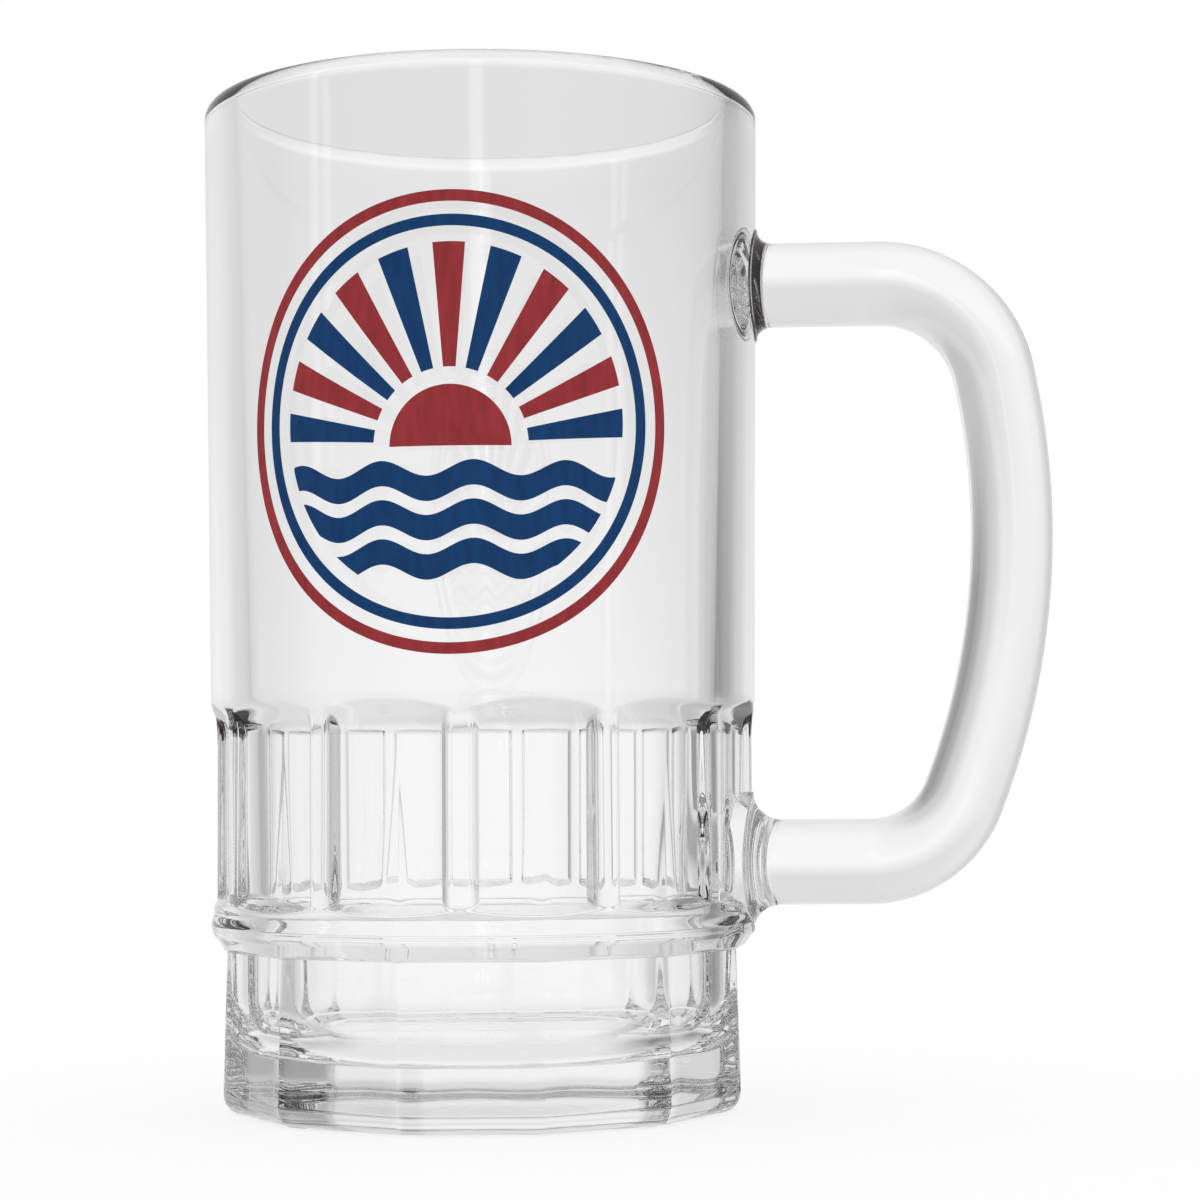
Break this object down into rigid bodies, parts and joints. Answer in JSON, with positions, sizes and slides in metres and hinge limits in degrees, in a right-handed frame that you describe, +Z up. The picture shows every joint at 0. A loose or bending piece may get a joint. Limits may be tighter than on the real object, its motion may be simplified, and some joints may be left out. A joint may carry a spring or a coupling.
{
  "type": "beer mug",
  "caption": "Clear pressed-glass beer mug: smooth conical wall over a fluted band and faceted base, with a round applied handle and a fired enamel print of a sun over waves.",
  "frame": {"origin": "on the mug's axis, in the plane that it stands on", "axes": "+Z up along the axis, +X towards the handle, the print faces -Y"},
  "size_m": [0.1267, 0.0832, 0.15],
  "materials": {
    "clear_glass": "fire-polished clear soda-lime glass",
    "red_enamel": "fired screen-printed enamel, satin gloss",
    "blue_enamel": "fired screen-printed enamel, satin gloss"
  },
  "bodies": {
    "root": {"mug_body": "clear_glass", "handle": "clear_glass", "print_red_ring": "red_enamel", "print_blue_ring": "blue_enamel", "print_red_sun": "red_enamel", "print_red_rays": "red_enamel", "print_blue_rays": "blue_enamel", "print_blue_waves": "blue_enamel"}
  },
  "joints": []
}
